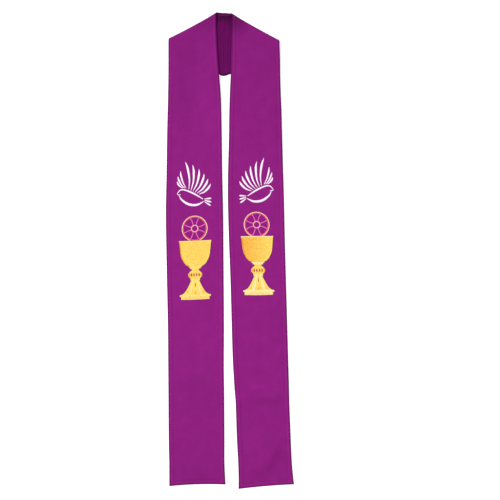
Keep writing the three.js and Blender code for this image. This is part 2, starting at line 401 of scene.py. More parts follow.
def seam_height(from_outer, from_inner, run):
    """The pressed allowance along both edges, with a slight pucker. run is along the band."""
    total = np.zeros_like(from_outer)
    for distance, phase in ((from_outer, 0.0), (from_inner, 1.9)):
        slow, quick = np.sin(run / SLOW_RUN + phase), np.sin(run / QUICK_RUN + 2 * phase)
        width = ALLOWANCE + SLOW_SWAY * slow + QUICK_SWAY * quick
        total += ALLOWANCE_RISE * (1 - smooth(distance, width, width + ALLOWANCE_SLOPE))
        drift = 2.2 * np.sin(run / PUCKER_DRIFT + phase)
        wave = np.sin(run / PUCKER_RUN + drift) * np.sin(run / PUCKER_FADE + phase)
        total += PUCKER_RISE * wave * (1 - smooth(distance, 2, PUCKER_REACH))
    return total


print("creases:", len(CREASES), "seam allowance:", ALLOWANCE, "mm")

# %% [markdown]
# ## Rows along a band
#
# A band is built as a loft: row after row across it, from the hem, over the shoulder fold and
# back beneath itself to the centre back seam. Each row knows how to place a point from two
# numbers: t, across the band, and depth, in from the face cloth's outer surface.
#
# Each row also knows where the same point lay when the cloth was cut, before it was folded. The
# weave follows that, so its threads turn over with the cloth at the shoulder. A pattern taken
# from the table's own axes would run straight through the fold.

# %% Rows of the front and of the fold
CROWN_SHARE = 0.2  # the neck edge's crown rises over this share of the band's width


def front_row(name, share, **extra):
    """A row across the flat front, at a share of the way from the hem to the fold."""
    band = BANDS[name]

    def place(t, depth):
        x, up = front_plan(band, share, t)
        return np.stack([x, up, underside(name, x, up) + BAND_THICK - depth], axis=1)

    def cut(t):
        return np.stack(front_plan(band, share, t), axis=1)

    row = {"place": place, "cut": cut, "part": "front", "rise": 1.0, "squeeze": 1.0}
    return {**row, "end": share * band["length"], **extra}


def turning_row(name, angle):
    """A row on the shoulder fold. The angle runs from 90 degrees on top to -90 beneath."""
    band = BANDS[name]
    arc = (math.pi / 2 - angle) * FOLD_RADIUS

    def place(t, depth):
        reach = FOLD_RADIUS - depth
        plan = np.stack(front_plan(band, 1.0, t), axis=1)
        plan = plan + np.outer(reach * math.cos(angle), band["outward"])
        plan = plan + arc * math.tan(band["slope"]) * band["along"]
        crown = band["crown"] * smooth(t, 1 - CROWN_SHARE, 1) * smooth(-angle, -math.pi / 2, math.pi / 2)
        height = FOLD_RADIUS + reach * math.sin(angle)
        return np.column_stack([plan[:, 0], plan[:, 1] + crown, height])

    def cut(t):
        x, up = front_plan(band, 1.0, t)
        return np.stack([x, up + arc / math.cos(band["slope"])], axis=1)

    rise = max(0.0, math.sin(angle))
    row = {"place": place, "cut": cut, "part": "fold", "rise": rise, "squeeze": 1.0}
    return {**row, "end": band["length"]}


print("arc of the fold:", round(math.pi * FOLD_RADIUS, 1), "mm")

# %% Rows of the back neck
NECK_ROLL = 3.0  # the neck edge rolls up off the table
NECK_ROLL_SHARE = 0.14  # over this share of the back neck's width
EDGE_TURN = 3.0  # strip of face cloth turned to the lining side
NECK_TURN = 7.6  # the same strip where it shows in the neck
NECK_TURN_SHARE = 0.15  # it widens over this share of the way to the centre back seam
SEAM_GAP = 0.02  # the two halves all but touch along the centre back seam
# Where the back neck's lower edge hangs lowest: out to the right, half width, drop
NECK_DIPS = [(-9.5, 7.0, 2.1), (15.5, 3.2, 2.0)]
DIP_POWER = 6  # a dip fades upward by this power


def back_row(name, share, **extra):
    """A row of the back neck, at a share of the way from the fold to the centre back seam."""
    band = BANDS[name]
    fold_end = turning_row(name, -math.pi / 2)
    seam_x = band["sign"] * SEAM_GAP / 2

    def place(t, depth):
        start = fold_end["place"](t, 0 * t)
        x = start[:, 0] + (seam_x - start[:, 0]) * share
        seam_up = CENTRE_BOTTOM + (CENTRE_TOP - CENTRE_BOTTOM) * t
        rounded = np.hypot(x, CENTRE_ROUND) - CENTRE_ROUND
        whole = np.hypot(start[:, 0], CENTRE_ROUND) - CENTRE_ROUND
        up = seam_up + (start[:, 1] - seam_up) * rounded / whole
        for dip_at, dip_half, drop in NECK_DIPS:
            up = up - drop * np.exp(-(((x - dip_at) / dip_half) ** 2)) * (1 - t) ** DIP_POWER
        roll = NECK_ROLL * smooth(t, 1 - NECK_ROLL_SHARE, 1) * smooth(share, 0, 0.5)
        return np.stack([x, up, depth + roll], axis=1)

    def cut(t):
        start = fold_end["place"](t, 0 * t)[:, :2]
        step = place(t, 0 * t)[:, :2] - start
        along = band["along"]
        return fold_end["cut"](t) + 2 * np.outer(step @ along, along) - step

    row = {"place": place, "cut": cut, "part": "back", "rise": 0.0, "squeeze": 1.0}
    neck_turn = EDGE_TURN + (NECK_TURN - EDGE_TURN) * float(smooth(share, 0, NECK_TURN_SHARE))
    return {**row, "neck_turn": neck_turn, **extra}


print("back neck's rise at its middle:", CENTRE_TOP - CENTRE_BOTTOM, "mm")

# %% All the rows of one band
HEM_TURN = 4.0
TURN_SLOPE = 0.3
ROUND_REACH = 1.8  # how far in the rounding of a sewn edge begins
ROW_STEP = 3.2
ALLOWANCE_ROWS = (6, 8, 10, 11.2, 12.4, 13.6)  # closer rows over the allowance, up from the hem
BODY_START = 16.0  # the even rows begin this far up from the hem
FOLD_STEPS = 18
SEAM_GROOVE = 0.8  # the thickness left in the groove of the centre back seam


def rounding(distance):
    """The share of a layer's thickness that is left at a distance from a rounded edge."""
    inward = 1 - np.clip(distance / ROUND_REACH, 0.003, 1)
    return np.sqrt(1 - inward * inward)


def band_rows(name):
    """The rows of the face cloth and of the lining of one band."""
    length = BANDS[name]["length"]
    hem = [0, 0.2, 0.6, 1.1, ROUND_REACH, 2.8, HEM_TURN]
    rows = [front_row(name, d / length, hem=True, squeeze=float(rounding(d))) for d in hem]
    rows.append(front_row(name, (HEM_TURN + TURN_SLOPE) / length))
    near = [front_row(name, d / length) for d in ALLOWANCE_ROWS]
    span = length - BODY_START
    count = round(span / ROW_STEP)
    body = [front_row(name, (BODY_START + span * i / count) / length) for i in range(count + 1)]
    turns = [90 - 180 * i / FOLD_STEPS for i in range(1, FOLD_STEPS + 1)]
    body += [turning_row(name, math.radians(turn)) for turn in turns]
    seam = BANDS[name]["shoulder"][0]
    away = np.r_[np.linspace(seam, 28, 26)[1:], np.linspace(28, 3, 21)[1:], 2, 1.4, 0.9, 0.5, 0.2, 0]
    for distance in away:
        groove = SEAM_GROOVE + (1 - SEAM_GROOVE) * float(rounding(distance))
        body.append(back_row(name, 1 - distance / seam, squeeze=groove, end=length))
    lining_start = front_row(name, (HEM_TURN + 2 * TURN_SLOPE) / length)
    return rows + near + body, [lining_start] + near + body


ROWS = {name: band_rows(name) for name in BANDS}
print("rows:", {name: (len(face), len(lining)) for name, (face, lining) in ROWS.items()})

# %% [markdown]
# ## From rows to a closed wall of cloth
#
# Each row gets two lines of points, one on each side of the cloth. Neighbouring lines are joined
# all round, and the ends are closed, so each layer is one solid wall with a true thickness. A
# flat sheet with a Solidify modifier would be quicker, but it can't turn its own edge under, as
# the face cloth does round the lining.

# %% Sections of the face cloth
EDGE_COLUMNS = np.array([
    0, 0.25, 0.6, 1.1, ROUND_REACH, 3.0, 4.6, 6.6, 8.6, 10.2, 11.2, 12.2, 13.2, 15.0,
])
MIDDLE_COLUMNS = 36
HIDDEN_COLUMNS = 6


def row_width(row):
    """A row's width in the plan."""
    start, end = row["place"](np.array([0.0, 1.0]), np.zeros(2))[:, :2]
    return float(np.hypot(*(end - start)))


def across(width, outer, inner, middle):
    """Values of t: near the outer edge, evenly over the middle, and near the inner edge."""
    spread = np.linspace(outer[-1] / width, 1 - inner[-1] / width, middle + 2)[1:-1]
    return np.r_[outer / width, spread, 1 - inner[::-1] / width]


def face_section(name, row):
    """The face cloth's two lines of points in one row, as (t, depth) each."""
    width = row_width(row)
    half = BAND_THICK / 2
    t = across(width, EDGE_COLUMNS, EDGE_COLUMNS, MIDDLE_COLUMNS)
    plan = row["place"](t, 0 * t)
    run = row["cut"](t)[:, 1]
    relief = row["rise"] * seam_height(t * width, (1 - t) * width, run)
    if row["part"] == "front":
        relief = relief + crease_height(name, plan[:, 0], plan[:, 1])
    edge = rounding(np.minimum(t, 1 - t) * width)
    outside = half - (half + relief * edge) * edge * row["squeeze"]

    neck_turn = row.get("neck_turn", EDGE_TURN)
    round_columns = EDGE_COLUMNS[:5]
    outer = np.r_[round_columns, EDGE_TURN, EDGE_TURN + TURN_SLOPE, EDGE_COLUMNS[-1]]
    inner = np.r_[round_columns, neck_turn, neck_turn + TURN_SLOPE, EDGE_COLUMNS[-1]]
    back_t = across(width, outer, inner, HIDDEN_COLUMNS)
    turned = len(round_columns) + 1
    depth = np.full(len(back_t), FACE_THICK)
    if row.get("hem"):
        depth[:] = BAND_THICK
    depth[:turned] = depth[-turned:] = BAND_THICK
    edge = rounding(np.minimum(back_t, 1 - back_t) * width)
    inside = half + (depth - half) * edge * row["squeeze"]
    return (t, outside), (back_t, inside)


print("face cloth's columns:", 2 * len(EDGE_COLUMNS) + MIDDLE_COLUMNS)

# %% Sections of the lining
# Gathers of the lining in the neck window: out from the centre back, half width, height, sway
GATHERS = [
    (-20.5, 4.5, -0.80, 0.4), (-12.8, 2.6, 0.26, 2.4), (-8.9, 1.4, -0.34, 1.6),
    (-3.6, 2.2, 0.24, 0.9), (3.0, 1.6, -0.22, -1.4), (7.4, 2.4, 0.34, -2.2),
    (12.2, 1.5, -0.30, -0.8), (20.0, 4.5, -0.85, -0.6),
]
LINING_COLUMNS = 44
# Short folds of the lining below the neck edge, in the columns of CREASES
LINING_CREASES = [
    ("left", 12, 1186, 24, 12, 2.6, 0.5),
    ("left", 6, 1180, 40, 10, 2.4, -0.45),
    ("right", 9, 1184, -14, 14, 3.4, -0.6),
    ("right", 4, 1172, -30, 9, 2.6, 0.35),
]


def gather_height(x, up):
    """The soft upright gathers of the lining at the back of the neck."""
    total = np.zeros_like(x)
    climb = (up - CENTRE_BOTTOM) / (CENTRE_TOP - CENTRE_BOTTOM)
    for out, half_width, height, sway in GATHERS:
        middle = out + sway * np.sin(3.3 * climb + out)
        strength = 0.65 + 0.35 * np.sin(5.1 * climb + 1.7 * out)
        total += height * strength * np.exp(-(((x - middle) / half_width) ** 2))
    return total


def lining_section(name, row):
    """The lining's hidden line and its showing line in one row, as (t, depth) each."""
    width = row_width(row)
    outer = np.array([EDGE_TURN + 2 * TURN_SLOPE, EDGE_TURN + 1.2, 7.0])
    inner = np.array([row.get("neck_turn", EDGE_TURN) + 2 * TURN_SLOPE, 9.0, 11.0])
    hidden_t = across(width, outer[[0, 2]], inner[[0, 2]], HIDDEN_COLUMNS)
    hidden = np.full(len(hidden_t), BAND_THICK - LINING_THICK)
    t = across(width, outer, inner, LINING_COLUMNS)
    showing = np.full(len(t), BAND_THICK)
    half = BAND_THICK / 2
    if row["part"] == "back":
        plan = row["place"](t, 0 * t)
        showing = showing + gather_height(plan[:, 0], plan[:, 1])
        showing = showing + crease_height(name, plan[:, 0], plan[:, 1], LINING_CREASES)
        showing = half + (showing - half) * row["squeeze"]
        hidden = half + (hidden - half) * row["squeeze"]
    return (hidden_t, hidden), (t, showing)


print("lining's gathers in the neck window:", len(GATHERS))

# %% Painted light and shade on the cloth
# The cloth's colour carries painted light and shade. A painted shade darkens a line just inside each
# sewn edge, where the edge turns down away from the light. Over the seam allowance the face is
# lighter: it is doubled there, so no dark lining shows through the threads, and its raised strip
# has painted light. Painted shade also darkens each shoulder fold where it turns under, and the
# cloth round the neck.
# painted shade along each sewn edge: its distance in, its half width, and the light it keeps
PAINTED_EDGE_AT, PAINTED_EDGE_HALF, PAINTED_EDGE_SHADE = 2.0, 2.6, 0.42
# lighter over the seam allowance: doubled cloth, and painted light on its raised strip
DOUBLED_AND_PAINTED_LIGHT = 0.07
# painted shade along the step where the seam allowance ends
ALLOWANCE_STEP_PAINTED_SHADE, STEP_SHADE_HALF = 0.12, 1.3  # the allowance's own edge shows as a faint line
# painted shade on each shoulder fold where it turns under
FOLD_PAINTED_SHADE = 0.78
# painted shade round the neck on each band: how much, how far it reaches, and where its middle lies
NECK_PAINTED_SHADE = {"left": 0.16, "right": 0.40}
NECK_SHADE_REACH = 30.0
NECK_SHADE_OUT, NECK_SHADE_DOWN = 8, 16  # its middle, from the corner of the neck
# painted shade on the lining below the neck edge: how much, and where it starts and ends
LINING_PAINTED_SHADE, LINING_SHADE_START, LINING_SHADE_REACH = 0.46, 8.0, 32.0
# The strip of face cloth that is turned in round the back neck carries a painted shadow: its
# distances from the edge, and its painted shade there at the neck and at the lower edge
STRIP_PLACES = [1.8, 7.8, 8.5, 13.0]
NECK_STRIP_PAINTED_SHADE = [0.30, 0.54, 0.56, 1.0]
LOW_STRIP_PAINTED_SHADE = [0.18, 0.60, 0.64, 1.0]

# Soft patches of painted light and shade: band, out, up, reach across, reach along, change of
# shade
PAINTED_LIGHT_AND_SHADE = [
    ("left", 120, 985, 54, 125, -0.075), ("left", 38, 935, 58, 110, 0.07),
    ("left", 92, 1086, 46, 44, -0.07), ("left", 22, 1090, 34, 60, 0.05),
    ("left", 72, 222, 96, 80, -0.055), ("left", 70, 18, 100, 34, -0.07),
    ("left", 40, 372, 40, 46, 0.03), ("right", 128, 925, 36, 90, -0.05),
    ("right", 138, 408, 50, 80, -0.05), ("right", 92, 34, 44, 34, -0.08),
    ("right", 96, 250, 74, 16, 0.055), ("right", 96, 216, 80, 20, -0.05),
    ("right", 150, 118, 40, 60, 0.03),
]


def painted_patches(name, out, up):
    """Painted light and shade in soft patches at places of a band, as a factor on the colour."""
    change = np.zeros_like(out)
    for band_name, patch_out, patch_up, across, along, amount in PAINTED_LIGHT_AND_SHADE:
        if band_name == name:
            away = np.hypot((out - patch_out) / across, (up - patch_up) / along)
            change += amount * (1 - smooth(away, 0, 1))
    return 1 + change


def face_painted_shading(name, row, t):
    """Painted light and shade on the face cloth, as a factor on its colour."""
    width = row_width(row)
    # the turned strip round the back neck: painted shadow along both its edges
    if row["part"] == "back":
        neck = np.interp((1 - t) * width, STRIP_PLACES, NECK_STRIP_PAINTED_SHADE)
        return np.minimum(neck, np.interp(t * width, STRIP_PLACES, LOW_STRIP_PAINTED_SHADE))
    edge = np.minimum(np.minimum(t, 1 - t) * width, row["end"])
    # painted shade along the sewn edges
    line = np.clip(1 - np.abs(edge - PAINTED_EDGE_AT) / PAINTED_EDGE_HALF, 0, 1)
    painted_shading = 1 - (1 - PAINTED_EDGE_SHADE) * line
    # lighter over the allowance: doubled cloth, and painted light on the raised strip
    painted_shading = painted_shading * (1 + DOUBLED_AND_PAINTED_LIGHT * (1 - smooth(edge, ALLOWANCE, ALLOWANCE + ALLOWANCE_SLOPE)))
    # painted shade along the allowance's step
    line_away = edge - ALLOWANCE - ALLOWANCE_SLOPE
    painted_shading = painted_shading * (1 - ALLOWANCE_STEP_PAINTED_SHADE * np.exp(-(line_away / STEP_SHADE_HALF) ** 2))
    # painted shade on the fold's turning side
    if row["part"] == "fold":
        painted_shading = painted_shading * (1 - (1 - FOLD_PAINTED_SHADE) * (1 - row["rise"]))
    # painted shade round the corner of the neck
    out, up = BANDS[name]["neck"]
    plan = row["place"](t, 0 * t)
    away = np.hypot(plan[:, 0] - BANDS[name]["sign"] * (out + NECK_SHADE_OUT), plan[:, 1] - up + NECK_SHADE_DOWN)
    # soft patches of painted light and shade
    painted_shading = painted_shading * painted_patches(name, BANDS[name]["sign"] * plan[:, 0], plan[:, 1])
    return painted_shading * (1 - NECK_PAINTED_SHADE[name] * np.exp(-((away / NECK_SHADE_REACH) ** 2)))


def lining_painted_shading(name, row, t):
    """Painted shade on the lining, darkest along the neck edge, where that edge shades it."""
    edge = (1 - t) * row_width(row)
    return 1 - LINING_PAINTED_SHADE * (1 - smooth(edge, LINING_SHADE_START, LINING_SHADE_REACH))


# the painted shade along the sewn edges
print("the pressed line keeps", PAINTED_EDGE_SHADE, "of the cloth's light")

# %% Joining the rows
SHARP_ANGLE = 50  # degrees: a sharper bend than this is drawn as an edge


def end_cap(outside_t, inside_t):
    """Triangles between the two lines of an end row. The inside's points come after the outside's."""
    i, j, first = 0, 0, len(outside_t)
    triangles = []
    while i + 1 < len(outside_t) or j + 1 < len(inside_t):
        step_out = j + 1 == len(inside_t) or (
            i + 1 < len(outside_t) and outside_t[i + 1] <= inside_t[j + 1]
        )
        if step_out:
            triangles.append((first + j, i + 1, i))
            i += 1
        else:
            triangles.append((first + j, first + j + 1, i))
            j += 1
    return triangles


def add_mesh(piece, vertices, faces):
    """A new object of a name, from its vertices and lists of corners."""
    mesh = bpy.data.meshes.new(piece)
    mesh.from_pydata(vertices.tolist(), [], faces)
    made = bpy.data.objects.new(piece, mesh)
    bpy.context.scene.collection.objects.link(made)
    return made


def cloth_wall(piece, name, rows, section, painted_shading):
    """Makes one closed layer of cloth, with the cut's own coordinates as its UV map.

    Its one float attribute holds painted light and shade, which its colour is multiplied by.
    """
    points, cuts, painted_shadings, sections = [], [], [], [section(name, row) for row in rows]
    for row, (outside, inside) in zip(rows, sections):
        for t, depth in (outside, inside):
            points.append(row["place"](t, depth))
            cuts.append(row["cut"](t))
            painted_shadings.append(painted_shading(name, row, t))
    ring, front = len(points[0]) + len(points[1]), len(points[0])
    last = len(rows) - 1

    def quads(near, far):
        """Quads between two columns of points, one for each pair of neighbouring rows."""
        steps = ring * np.arange(last)[:, None]
        return (steps[..., None] + np.stack([near, far, far + ring, near + ring], -1)).reshape(-1, 4)

    out, back = np.arange(front), np.arange(front, ring)
    faces = np.concatenate([
        quads(out[:-1], out[1:]),
        quads(back[1:], back[:-1]),
        quads(back[:1], out[:1]),
        quads(out[-1:], back[-1:]),
    ]).tolist()
    (outside, _), (inside, _) = sections[0]
    faces += end_cap(outside, inside)
    (outside, _), (inside, _) = sections[-1]
    faces += [[last * ring + v for v in (a, c, b)] for a, b, c in end_cap(outside, inside)]
    if BANDS[name]["sign"] > 0:
        faces = [face[::-1] for face in faces]

    vertices = (np.concatenate(points) - ORIGIN) * MM
    made = add_mesh(piece, vertices, faces)
    mesh = made.data
    corners = np.empty(len(mesh.loops), dtype=np.int32)
    mesh.loops.foreach_get("vertex_index", corners)
    cut = np.concatenate(cuts) * MM
    mesh.uv_layers.new(name="cut").data.foreach_set("uv", cut[corners].ravel())
    shade = mesh.attributes.new("painted_shading", "FLOAT", "POINT")
    shade.data.foreach_set("value", np.concatenate(painted_shadings))
    mesh.shade_smooth()
    mesh.set_sharp_from_angle(angle=math.radians(SHARP_ANGLE))
    return made


CLOTH = {}
for name, (face_rows, lining_rows) in ROWS.items():
    CLOTH["face", name] = cloth_wall(
        f"face_cloth_{name}", name, face_rows, face_section, face_painted_shading
    )
    CLOTH["lining", name] = cloth_wall(
        f"lining_cloth_{name}", name, lining_rows, lining_section, lining_painted_shading
    )
for piece in CLOTH.values():
    print(piece.name, len(piece.data.polygons), "faces")

# %% How well the fine cloth fits the frame
for (layer, name), piece in CLOTH.items():
    low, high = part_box(f"{layer}_{name}")
    corners = np.array([v.co[:] for v in piece.data.vertices])
    gap = np.r_[corners.min(0) - np.array(low), corners.max(0) - np.array(high)] / MM
    print(piece.name, "is off its solid's box by, in mm:", gap.round(2))

# %% [markdown]
# ## Cloth
#
# The face is spun polyester in plain weave, the usual cloth for a washable stole. It is matt,
# because its short fibres stand off the surface. The lining is filament taffeta, pressed
# between rollers: smoother, with a soft shine, and given a darker colour than the face. Their weave
# is drawn from the cut's own coordinates, in metres, so that it folds with the cloth.
#
# The weave is a bump and not geometry: a thread each third of a millimetre would take millions
# of faces, and from three metres it only takes the gloss off.

# %% A plain weave
def plain_weave(tree, place, pitch):
    """The height of a plain weave, from 0 to 1. Each crown is where one thread crosses another."""
    split = add_node(tree, "ShaderNodeSeparateXYZ", {"Vector": place})
    waves = []
    for axis in ("X", "Y"):
        turn = add_node(
            tree, "ShaderNodeMath", {0: split.outputs[axis], 1: math.pi / pitch}, operation="MULTIPLY"
        )
        wave = add_node(tree, "ShaderNodeMath", {0: turn.outputs[0]}, operation="SINE")
        waves.append(wave.outputs[0])
    crown = add_node(tree, "ShaderNodeMath", {0: waves[0], 1: waves[1]}, operation="MULTIPLY")
    return add_node(tree, "ShaderNodeMath", {0: crown.outputs[0]}, operation="ABSOLUTE").outputs[0]


def thread_streaks(tree, place, across, along):
    """Noise drawn out along the threads, from 0 to 1, its patches across and along in metres."""
    scaled = add_node(
        tree, "ShaderNodeMapping", {"Vector": place, "Scale": (1 / across, 1 / along, 1)}
    )
    return add_node(
        tree, "ShaderNodeTexNoise",
        {"Vector": scaled.outputs[0], "Scale": 1.0, "Detail": 2.0, "Roughness": 0.6},
        noise_dimensions="2D",
    ).outputs["Fac"]


# %% Face cloth and lining
FACE_PITCH = 0.7 * MM  # a thread each 0.35 mm in the real cloth, drawn coarser so that it shows
LINING_PITCH = 0.4 * MM  # a thread each 0.15 mm in the real lining, drawn coarser for the same end
# Sizes across and along: a thick stretch of a thread each way, and a cloud of uneven dye
WARP_STREAK = (1.6 * MM, 34 * MM)
WEFT_STREAK = (27 * MM, 1.4 * MM)
DYE_CLOUD = (24 * MM, 30 * MM)
SLUB_SHADE = 0.45  # what thick threads add to the shade, beside the cloud
SHADE_RANGE = (0.55, 1.35)
SLUB_HEIGHT = 0.8  # what thick threads add to the relief, beside the weave
RELIEF_STRENGTH = 0.6


def woven_cloth(name, deep, light, pitch, roughness, gloss, relief):
    """A woven cloth whose threads vary in thickness and shade."""
    material, tree = new_material(name)
    place = add_node(tree, "ShaderNodeUVMap", uv_map="cut").outputs["UV"]
    warp = thread_streaks(tree, place, *WARP_STREAK)
    weft = thread_streaks(tree, place, *WEFT_STREAK)
    slub = add_node(tree, "ShaderNodeMath", {0: warp, 1: weft}, operation="ADD")
    cloud = thread_streaks(tree, place, *DYE_CLOUD)
    shade = add_node(
        tree, "ShaderNodeMath", {0: slub.outputs[0], 1: SLUB_SHADE, 2: cloud},
        operation="MULTIPLY_ADD",
    )
    factor = add_node(tree, "ShaderNodeMapRange", {
        "Value": shade.outputs[0], "From Min": SHADE_RANGE[0], "From Max": SHADE_RANGE[1],
    })
    colour = add_node(
        tree, "ShaderNodeMix", {0: factor.outputs[0], 6: linear(deep), 7: linear(light)},
        data_type="RGBA",
    )
    # the colour is multiplied by the mesh's painted light and shade
    painted_shading = add_node(tree, "ShaderNodeAttribute", attribute_name="painted_shading").outputs["Fac"]
    dyed_and_shaded = add_node(
        tree, "ShaderNodeVectorMath", {0: colour.outputs[2], "Scale": painted_shading}, operation="SCALE"
    )
    weave = plain_weave(tree, place, pitch)
    height = add_node(
        tree, "ShaderNodeMath", {0: slub.outputs[0], 1: SLUB_HEIGHT, 2: weave},
        operation="MULTIPLY_ADD",
    )
    bump = add_node(tree, "ShaderNodeBump", {
        "Height": height.outputs[0], "Strength": RELIEF_STRENGTH, "Distance": relief,
    })
    shader = add_node(tree, "ShaderNodeBsdfPrincipled", {
        "Base Color": dyed_and_shaded.outputs[0], "Roughness": roughness, "Specular IOR Level": gloss,
        "Sheen Weight": 0.05, "Sheen Roughness": 0.5, "Sheen Tint": linear(light),
        "Normal": bump.outputs[0],
    })
    add_node(tree, "ShaderNodeOutputMaterial", {"Surface": shader.outputs[0]})
    return material


# Spun fibres scatter the light: matt, with hardly a highlight
face_material = woven_cloth(
    "spun_polyester_plain_weave", "851c75", "8e1f7e", FACE_PITCH, 0.9, 0.05, 0.10 * MM
)
# Pressed filaments lie flat and smooth: a soft shine along the folds
lining_material = woven_cloth(
    "calendered_polyester_taffeta", "5b054f", "69075c", LINING_PITCH, 0.6, 0.05, 0.04 * MM
)
for (layer, name), piece in CLOTH.items():
    piece.data.materials.append(face_material if layer == "face" else lining_material)
print("cloths:", face_material.name, "and", lining_material.name)

# %% [markdown]
# ## Embroidery
#
# Each band carries three signs of the Eucharist, in thread: a dove, a host, and a chalice. They
# are old signs that any maker may use. Each is built here by rule: feathers fanned by even steps,
# a wheel of circles and lines, and a cup turned to plain curves.
#
# A sewing machine fills a shape with parallel stitches. Narrow shapes take satin stitch, from
# edge to edge over a padding. Wide ones take fill stitch: rows split like brickwork, so that no
# stitch is long enough to snag. One function does both. It asks a shape for places by two
# shares: u from stitch to stitch, and v along a stitch. A bump texture would look alike from far
# off, but true threads catch the light along their whole length, as silk does.

# %% Where the motifs lie, and how thick the thread is
# out from the centre back, up from the hem line. The lean and the tilt are in degrees: a motif's
# upright leans to the left, and its level line rises to the right. The gold thread's shade runs
# from 0, deep, to 1, light. It is given for the motif's middle, with its rise to the inner side:
# the two bands were sewn from two cones of thread. "pale" is the pale gold thread's own shade.
MOTIFS = {
    "left": {"dove": (76.2, 763.3), "host": (75.4, 651.2), "chalice": (73.8, 469.9),
             "lean": 0.2, "tilt": 2.2, "gold": (0.74, 0.0), "pale": 0.26},
    "right": {"dove": (79.4, 772.1), "host": (81.8, 661.1), "chalice": (87.6, 481.3),
              "lean": 1.9, "tilt": 0.6, "gold": (0.57, -0.27), "pale": 0.62},
}
THREAD = 0.82  # a No. 40 thread is 0.4 mm thick, drawn twice that so that a stitch shows
PITCH = 0.68
LONGEST_SATIN = 9.5
LONGEST_FILL = 5.0
RING_SLANT = 12  # degrees that a stitch leans across a ring as wide as its radius
FILL_SHIFTS, FILL_JITTER = 4, 0.06  # rows of fill stitch shift by quarters, and not quite evenly
SATIN_CROWN, FILL_CROWN = 2, 10  # powers: satin is padded round, and fill is flat to its sides
SHADE_SPREAD = 0.13
SHADE_REACH = 35.0  # a shade rises by its full rise this far from the motif's middle
random = np.random.default_rng(11)


def on_band(name, motif, x, y):
    """A place in a motif's own plan, moved to the band. The right band's motifs are mirrored."""
    sign = BANDS[name]["sign"]
    out, up = MOTIFS[name][motif]
    lean, tilt = (math.radians(MOTIFS[name][turn]) for turn in ("lean", "tilt"))
    x = -sign * x
    return (
        sign * out + x * math.cos(tilt) - y * math.sin(lean),
        up + x * math.sin(tilt) + y * math.cos(lean),
    )


print("thread", THREAD, "mm thick, a stitch each", PITCH, "mm")

# %% Shapes to sew
def curve(rows, steps=14):
    """A smooth line through the rows of a table."""
    rows = np.array(rows, float)
    before = np.vstack([2 * rows[0] - rows[1], rows[:-1]])
    after = np.vstack([rows[1:], 2 * rows[-1] - rows[-2]])
    slope = (after - before) / 2
    u = np.arange(steps)[:, None] / steps
    ease = u * u * (3 - 2 * u)
    spans = [
        a + (b - a) * ease + u * (1 - u) ** 2 * leave + u * u * (u - 1) * arrive
        for a, b, leave, arrive in zip(rows[:-1], rows[1:], slope[:-1], slope[1:])
    ]
    return np.vstack([*spans, rows[-1:]])


def stroke(rows, slant=0.45):
    """A stroke with rounded ends. Each row is x, y and width. The stitches slant across it."""
    line = curve(rows)
    step = np.hypot(*np.diff(line[:, :2], axis=0).T)
    run = np.r_[0, np.cumsum(step)]
    heading = np.gradient(line[:, :2], run, axis=0)
    heading /= np.linalg.norm(heading, axis=1)[:, None]

    def region(u, v):
        at = u * run[-1]
        at = at + slant * np.interp(at, run, line[:, 2]) * (v - 0.5)
        x, y, width = (np.interp(at, run, column) for column in line.T)
        along_x, along_y = (np.interp(at, run, column) for column in heading.T)
        return x - along_y * width * (v - 0.5), y + along_x * width * (v - 0.5)

    return region


def ring(radius, width, start=0, end=360):
    """Part of a ring, between two angles in degrees."""
    def region(u, v):
        angle = np.radians(start + (end - start) * u + RING_SLANT * (v - 0.5) * width / radius)
        reach = radius + width * (v - 0.5)
        return reach * np.cos(angle), reach * np.sin(angle)

    return region


print("a stroke 30 mm long bends through", len(curve([(0, 0, 1), (15, 3, 4), (30, 0, 1)])), "points")

# %% Shapes of turned metal
def courses(profile, bow=0.0):
    """Level courses over a turned shape. Each row of its profile is a height and a half width."""
    low, high = profile[0][0], profile[-1][0]

    def region(u, v):
        height = low + (high - low) * u
        side = 2 * v - 1
        return side * between(profile, 1, height), height - bow * (1 - u) * (1 - side * side)

    return region


def flutes(profile, start=0.0, end=1.0):
    """Upright stitches that spread with a turned shape, between two shares of its width."""
    low, high = profile[0][0], profile[-1][0]

    def region(u, v):
        height = low + (high - low) * v
        side = 2 * (start + (end - start) * u) - 1
        return side * between(profile, 1, height), height

    return region


def edging(profile, width=1.9, inset=0.5):
    """The two sides of a turned shape, each a stroke."""
    heights = np.linspace(profile[0][0], profile[-1][0], 9)
    halves = between(profile, 1, heights) - inset
    return [stroke([(side * half, height, width) for height, half in zip(heights, halves)])
            for side in (-1, 1)]


# %% Stitches
# Places along one stitch: share of its length, share of its thickness, height in thicknesses, and
# share of its shade. That last share is a painted shade: a stitch's ends are painted deeper, for the
# shade where they go down between their neighbours, and on the white thread pinker, as a painted
# reflection of the cloth.
STITCH = np.array([
    (0, 0.4, -0.35, 0.3), (0.1, 0.92, 0.2, 0.88), (0.5, 1.0, 0.34, 1.0),
    (0.9, 0.92, 0.2, 0.88), (1, 0.4, -0.35, 0.3),
])
SIDES = 6
FLATTENED = 0.85  # a thread's height beside its width


